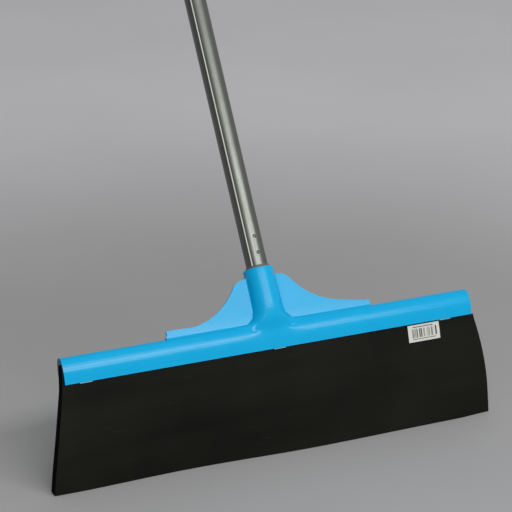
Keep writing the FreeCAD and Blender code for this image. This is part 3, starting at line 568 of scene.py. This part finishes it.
# %% Fill the fold
CROWN_HEIGHT = 26.3 * MM          # of the crown above the channel's mouth, along the channel
LIP_TOP = 3 * MM                  # above the channel's mouth
CAVITY_HALF = 7.3 * MM            # of the slot for the foam and the wedges, and a little more
CAVITY_TOP = 20.5 * MM            # of that slot, above the channel's mouth
BORE_FLOOR = 18 * MM              # height over the crown, along the pole
BORE_WALL = 12.5 * MM             # above that floor, points nearer the axis belong to the bore
WEB_FACE = 1.8 * MM               # points nearer the web's middle belong to the web
FILL_RADIUS = 35 * MM
FILL_TURNS = 40
FILL_REPEATS = 4
SMALL_HOLLOW = 0.001 * MM
EVEN_REPEATS = 3
SOFT_ROUNDS = [(35, 8), (32, 12), (29, 20), (26, 30), (23, 40)]    # radius in mm, repeats


def on_outer_skin(place):
    """True for the front of the head's outside: not the web, the cavity or the bore."""
    from_crown = place - CROWN
    ahead_of_web = from_crown.dot(POLE_FRONT) > WEB_FACE
    up_channel = from_crown.dot(CHANNEL_WAY) + CROWN_HEIGHT
    past_cavity = abs(from_crown.dot(CHANNEL_FRONT)) > CAVITY_HALF or up_channel > CAVITY_TOP
    along_pole = from_crown.dot(POLE_WAY)
    off_axis = (from_crown - POLE_WAY * along_pole).length
    past_bore = off_axis > BORE_WALL or along_pole < BORE_FLOOR
    return ahead_of_web and past_cavity and past_bore and up_channel > LIP_TOP


def hollow(vert):
    """How far the middle of a point's neighbours stands outside the skin."""
    middle = Vector((0, 0, 0))
    for edge in vert.link_edges:
        middle += edge.other_vert(vert).co
    return (middle / len(vert.link_edges) - vert.co).dot(vert.normal)


def smooth(verts, repeats):
    """Draw points half way towards the middle of their neighbours, again and again."""
    for repeat in range(repeats):
        bmesh.ops.smooth_vert(head_mesh, verts=verts, factor=0.5, use_axis_x=True,
                              use_axis_y=True, use_axis_z=True)


patch = [vert for vert in head_mesh.verts
         if (vert.co - FOOT_CENTRE).length < FILL_RADIUS and on_outer_skin(vert.co)]
for turn in range(FILL_TURNS):
    head_mesh.normal_update()
    hollows = [vert for vert in patch if hollow(vert) > SMALL_HOLLOW]
    smooth(hollows, FILL_REPEATS)
smooth(patch, EVEN_REPEATS)
for radius, repeats in SOFT_ROUNDS:
    smooth([vert for vert in patch if (vert.co - FOOT_CENTRE).length < radius * MM], repeats)
print("points in the patch:", len(patch), "and still in a hollow:", len(hollows))

# %% [markdown]
# The copy takes the head's place. Its faces are shaded smooth, and an edge stays sharp where the
# faces beside it meet at more than a set angle, as at the lips and the socket's mouth.

# %% Put the copy in the head's place
SHARP_ANGLE = math.radians(32)
for face in head_mesh.faces:
    face.smooth = True
for edge in head_mesh.edges:
    if len(edge.link_faces) == 2:
        edge.smooth = edge.calc_face_angle() < SHARP_ANGLE
head_data = bpy.data.meshes.new("soft_footed_head")
head_mesh.to_mesh(head_data)
head_mesh.free()
soft_head = bpy.data.objects.new("soft_footed_head", head_data)
bpy.context.scene.collection.objects.link(soft_head)
soft_head.data.materials.append(blue_polypropylene)
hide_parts("head")
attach(soft_head, "root")
print("soft_footed_head has", len(head_data.vertices), "points")

# %% [markdown]
# ## The foam blade
# The blade is one sheet of foam, 11 mm thick. It is held straight in the channel, bends down to
# the floor, and spreads a little towards its foot. Foam is never quite flat: the lower edge
# wanders forward and back by a few millimetres. The sheet could be sculpted, but it is easier to
# build as it is made: a straight row of points is swept down, round the bend and up into the
# channel, then spread, waved, and given its thickness.

# %% Sizes of the blade
BLADE_THICKNESS = 11 * MM
BLADE_TAIL = 30 * MM
BEND_RADIUS = 224.5 * MM          # of the middle of the sheet
BLADE_SEAT = 19.5 * MM
SPREAD_RADIUS = 720 * MM          # of the arc that each cut side follows below the channel
MOUTH_HEIGHT = BLADE_TAIL + BEND_RADIUS * math.sin(CHANNEL_LEAN)
MOUTH = Vector((0, BEND_RADIUS * (1 - math.cos(CHANNEL_LEAN)), MOUTH_HEIGHT))
HEAD_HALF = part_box("head")[1].x   # from the high corner of its box
DRAWN_IN = 0.9 * MM               # the used foam is a little narrower at its foot
FOOT_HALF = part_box("foam_blade")[1].x - DRAWN_IN
MOUTH_HALF = HEAD_HALF + 2.2 * MM           # the foam is a little wider than the head
SEAT_LEFT = -MOUTH_HALF           # the foam stands out of the channel's open end
SEAT_TAPER = 2.4 * MM             # how much less it stands out at the top of its seat
SEAT_RIGHT = HEAD_HALF - 2.8 * MM           # the channel's right end is closed
print("blade foot is", round(2 * FOOT_HALF / MM), "mm wide, mouth height",
      round(MOUTH_HEIGHT / MM, 1), "mm")

# %% [markdown]
# The sweep starts with a row of points along the floor, at the front face. Extruding it upwards
# gives the straight tail, spinning it about the bend's axis gives the curve, and a last extrusion
# gives the stretch inside the channel.

# %% Sweep the front face of the sheet
ROW_STEPS = 120
TAIL_STEPS = 6
BEND_STEPS = 16
SEAT_STEPS = (0.03, 0.32, 0.32, 0.33)       # shares of the stretch inside the channel


def sweep_row():
    """Front face of the sheet as a grid, from the foot up into the channel."""
    sheet = bmesh.new()
    row = []
    for step in range(ROW_STEPS + 1):
        row.append(sheet.verts.new((-1 + 2 * step / ROW_STEPS, -BLADE_THICKNESS / 2, 0)))
    edges = [sheet.edges.new(pair) for pair in zip(row, row[1:])]
    for rise in range(TAIL_STEPS):
        grown = bmesh.ops.extrude_edge_only(sheet, edges=edges)["geom"]
        new_verts = [part for part in grown if isinstance(part, bmesh.types.BMVert)]
        bmesh.ops.translate(sheet, verts=new_verts, vec=(0, 0, BLADE_TAIL / TAIL_STEPS))
        edges = [part for part in grown if isinstance(part, bmesh.types.BMEdge)
                 and all(vert in new_verts for vert in part.verts)]
    bend = bmesh.ops.spin(sheet, geom=edges, cent=(0, BEND_RADIUS, BLADE_TAIL), axis=(1, 0, 0),
                          dvec=(0, 0, 0), angle=-CHANNEL_LEAN, steps=BEND_STEPS,
                          use_merge=False, use_duplicate=False)
    edges = [part for part in bend["geom_last"] if isinstance(part, bmesh.types.BMEdge)]
    for rise in SEAT_STEPS:
        grown = bmesh.ops.extrude_edge_only(sheet, edges=edges)["geom"]
        new_verts = [part for part in grown if isinstance(part, bmesh.types.BMVert)]
        bmesh.ops.translate(sheet, verts=new_verts, vec=CHANNEL_WAY * BLADE_SEAT * rise)
        edges = [part for part in grown if isinstance(part, bmesh.types.BMEdge)
                 and all(vert in new_verts for vert in part.verts)]
    return sheet


blade_mesh = sweep_row()
top = max(vert.co.z for vert in blade_mesh.verts)
print("swept", len(blade_mesh.faces), "faces, top at", round(top / MM, 1), "mm")

# %% [markdown]
# The row runs from -1 to 1, so one multiplication spreads it to the real half width at each
# height: an arc below the channel, and the channel's own ends inside it. The wave of the lower
# edge is a short list of places and how far the edge stands forward there, joined by smooth
# steps; it fades out on the way up to the channel, where the foam is gripped.

# %% Spread and wave the sheet
# along the blade, and forward of the straight edge, in millimetres
EDGE_WAVE = [(-245, -1.0), (-215, -0.5), (-110, -2.8), (52, 3.6), (200, 2.3), (245, -0.6)]
WAVE_TOP = 88 * MM                # no wave above this height
INSIDE = 0.1 * MM                 # past the channel's mouth by more than this


def half_width(height):
    """Half width of the sheet below the channel, on the arc of its cut side."""
    chord = Vector((MOUTH_HALF - FOOT_HALF, MOUTH_HEIGHT))
    share = min(max(height / MOUTH_HEIGHT, 0), 1)
    reach = chord.length
    from_middle = (share - 0.5) * reach
    rise = math.sqrt(SPREAD_RADIUS ** 2 - from_middle ** 2)
    bow = rise - math.sqrt(SPREAD_RADIUS ** 2 - (reach / 2) ** 2)
    return FOOT_HALF + chord.x * share + bow


def half_wave(share):
    """Step from 0 to 1 along half a wave."""
    return (1 - math.cos(math.pi * share)) / 2


for vert in blade_mesh.verts:
    side = vert.co.x
    inside = (vert.co - MOUTH).dot(CHANNEL_WAY)
    if inside > INSIDE:
        left = SEAT_LEFT + SEAT_TAPER * inside / BLADE_SEAT
        vert.co.x = side * (SEAT_RIGHT - left) / 2 + (SEAT_RIGHT + left) / 2
    else:
        vert.co.x = side * half_width(vert.co.z)
    forward = along_list(EDGE_WAVE, vert.co.x, half_wave)
    vert.co.y -= forward * soft_step(1 - vert.co.z / WAVE_TOP)
print("half width at the foot and half way up:", round(half_width(0) / MM, 1),
      round(half_width(MOUTH_HEIGHT / 2) / MM, 1))

# %% [markdown]
# Solidify gives the sheet its thickness towards the rear. The knife leaves the sheet's edges
# crisp but not sharp, so the outer rim gets a half-millimetre bevel. Faces that look forward or
# back are the sheet's skin, and the rim's faces are cut edges and take the second material.

# %% Thickness, edges and materials of the blade
RIM_ROUND = 0.5 * MM
RIM_ANGLE = math.radians(60)
SKIN_FACING = 0.6                 # Y of a face's normal, above which it is skin
bmesh.ops.recalc_face_normals(blade_mesh, faces=blade_mesh.faces)
bmesh.ops.solidify(blade_mesh, geom=blade_mesh.faces[:], thickness=BLADE_THICKNESS)
bmesh.ops.recalc_face_normals(blade_mesh, faces=blade_mesh.faces)
for face in blade_mesh.faces:
    face.smooth = True
    face.material_index = 0 if abs(face.normal.y) > SKIN_FACING else 1
rim_edges = [edge for edge in blade_mesh.edges if edge.calc_face_angle() > RIM_ANGLE]
bmesh.ops.bevel(blade_mesh, geom=rim_edges, offset=RIM_ROUND, offset_type="OFFSET", segments=3,
                profile=0.5, affect="EDGES", material=-1)
cut_faces = [face for face in blade_mesh.faces if face.material_index == 1]
print("cut faces:", len(cut_faces), "of", len(blade_mesh.faces))
blade_data = bpy.data.meshes.new("foam_sheet")
blade_mesh.to_mesh(blade_data)
blade_mesh.free()
foam_sheet = bpy.data.objects.new("foam_sheet", blade_data)
bpy.context.scene.collection.objects.link(foam_sheet)
foam_sheet.data.materials.append(skin_foam)
foam_sheet.data.materials.append(shaded_cut_foam)
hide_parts("foam_blade")
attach(foam_sheet, "root")
ys = [vert.co.y for vert in blade_data.vertices]
print("sheet y", round(min(ys) / MM, 1), round(max(ys) / MM, 1))

# %% [markdown]
# ## Floor, light and camera
# The squeegee stands on a plain pale grey floor, painted lighter further away as painted light.
# One wide soft lamp hangs in front, high and to the right, and the surroundings are brighter on
# that side, so that the round metal has a light and a dark side.

# %% Floor
FLOOR_SIZE = 60.0
PAINTED_LIGHT_FROM = 0.40
PAINTED_LIGHT_TO = 1.40


def floor_with_painted_light():
    """Matte pale grey floor, painted lighter beyond a wide circle round the object as painted
    light.
    """
    material, tree, shader = new_material("matte grey floor")
    place = add_node(tree, "ShaderNodeTexCoord").outputs["Object"]
    far = add_node(tree, "ShaderNodeVectorMath", {0: place}, operation="LENGTH")
    # painted light: the floor is painted lighter with the distance from the object
    share = add_node(tree, "ShaderNodeMapRange",
                     {"Value": far.outputs["Value"], "From Min": PAINTED_LIGHT_FROM, "From Max": PAINTED_LIGHT_TO},
                     interpolation_type="SMOOTHSTEP")
    mottle = add_node(tree, "ShaderNodeTexNoise",
                      {"Vector": place, "Scale": 3.0, "Detail": 3.0})
    tone = add_node(tree, "ShaderNodeMix",
                    {"Factor": share.outputs["Result"], "A": linear("A8A8A9"),
                     "B": linear("E2E2E5")}, data_type="RGBA")
    shade = add_node(tree, "ShaderNodeMapRange",
                     {"Value": mottle.outputs["Fac"], "To Min": 0.94, "To Max": 1.06})
    mottled = add_node(tree, "ShaderNodeVectorMath",
                       {0: tone.outputs["Result"], "Scale": shade.outputs["Result"]},
                       operation="SCALE")
    tree.links.new(mottled.outputs["Vector"], shader.inputs["Base Color"])
    shader.inputs["Roughness"].default_value = 0.9
    return material


floor_mesh = bmesh.new()
bmesh.ops.create_grid(floor_mesh, x_segments=1, y_segments=1, size=FLOOR_SIZE / 2)
floor_data = bpy.data.meshes.new("floor")
floor_mesh.to_mesh(floor_data)
floor_mesh.free()
floor = bpy.data.objects.new("floor", floor_data)
floor.location.z = -0.2 * MM
bpy.context.scene.collection.objects.link(floor)
floor.data.materials.append(floor_with_painted_light())
print("floor", FLOOR_SIZE, "m")

# %% [markdown]
# The lamp is a large rectangle, because a large source gives the wide soft highlight that satin
# plastic shows. It aims at the same place as the camera, a little above the head, and the camera
# doesn't see it.

# %% Lamp
AIM = Vector((-16.95, 19.46, 205.55)) * MM
LAMP_WAY = Vector((0.04, -0.787, 0.616)).normalized()
LAMP_DISTANCE = 2.2
LAMP_WIDTH = 2.4
LAMP_HEIGHT = 0.4
LAMP_WATTS = 34
lamp = bpy.data.lights.new("soft lamp", "AREA")
lamp.shape = "RECTANGLE"
lamp.size = LAMP_WIDTH
lamp.size_y = LAMP_HEIGHT
lamp.energy = LAMP_WATTS
lamp_holder = bpy.data.objects.new("soft lamp", lamp)
lamp_holder.location = AIM + LAMP_WAY * LAMP_DISTANCE
lamp_holder.rotation_euler = (-LAMP_WAY).to_track_quat("-Z", "Y").to_euler()
lamp_holder.visible_camera = False
bpy.context.scene.collection.objects.link(lamp_holder)
print("lamp", LAMP_WATTS, "W at", [round(c, 2) for c in lamp_holder.location])

# %% [markdown]
# The surroundings are a smooth gradient from dim at the left rear to bright at the right front.
# Where the camera sees the surroundings themselves, they have one even strength.

# %% Surroundings
BRIGHT_WAY = Vector((0.80, -0.60, 0.0)).normalized()
DIM_STRENGTH = 0.20
BRIGHT_STRENGTH = 0.52
SEEN_STRENGTH = 0.50
world = bpy.data.worlds.new("soft surroundings")
bpy.context.scene.world = world
world.use_nodes = True
sky = world.node_tree
backdrop = sky.nodes["Background"]
looking = add_node(sky, "ShaderNodeTexCoord").outputs["Generated"]
facing = add_node(sky, "ShaderNodeVectorMath", {0: looking, 1: BRIGHT_WAY},
                  operation="DOT_PRODUCT")
glow = add_node(sky, "ShaderNodeMapRange",
                {"Value": facing.outputs["Value"], "From Min": -0.75, "From Max": 0.2,
                 "To Min": DIM_STRENGTH, "To Max": BRIGHT_STRENGTH},
                interpolation_type="SMOOTHSTEP")
ray = add_node(sky, "ShaderNodeLightPath")
level = add_node(sky, "ShaderNodeMix",
                 {"Factor": ray.outputs["Is Camera Ray"], "A": glow.outputs["Result"],
                  "B": SEEN_STRENGTH}, data_type="FLOAT")
sky.links.new(level.outputs["Result"], backdrop.inputs["Strength"])
backdrop.inputs["Color"].default_value = linear("FFFFFF")
print("surroundings from", DIM_STRENGTH, "to", BRIGHT_STRENGTH)

# %% [markdown]
# The camera stands low in front, to the left, two metres away, with a long lens, so that the
# blade's far end looks only a little smaller than the near one.

# %% Camera
CAMERA_AZIMUTH = math.radians(-24.95)
CAMERA_ELEVATION = math.radians(19.75)
CAMERA_DISTANCE = 2.169
LENS = 154.5                      # in millimetres, for a picture 36 mm wide
camera = bpy.data.cameras.new("camera")
camera.sensor_width = 36
camera.lens = LENS
camera_holder = bpy.data.objects.new("camera", camera)
back = Vector((math.sin(CAMERA_AZIMUTH) * math.cos(CAMERA_ELEVATION),
               -math.cos(CAMERA_AZIMUTH) * math.cos(CAMERA_ELEVATION),
               math.sin(CAMERA_ELEVATION)))
camera_holder.location = AIM + back * CAMERA_DISTANCE
camera_holder.rotation_euler = (-back).to_track_quat("-Z", "Y").to_euler()
bpy.context.scene.collection.objects.link(camera_holder)
bpy.context.scene.camera = camera_holder
bpy.context.scene.view_settings.view_transform = "Standard"
print("camera at", [round(c, 3) for c in camera_holder.location])
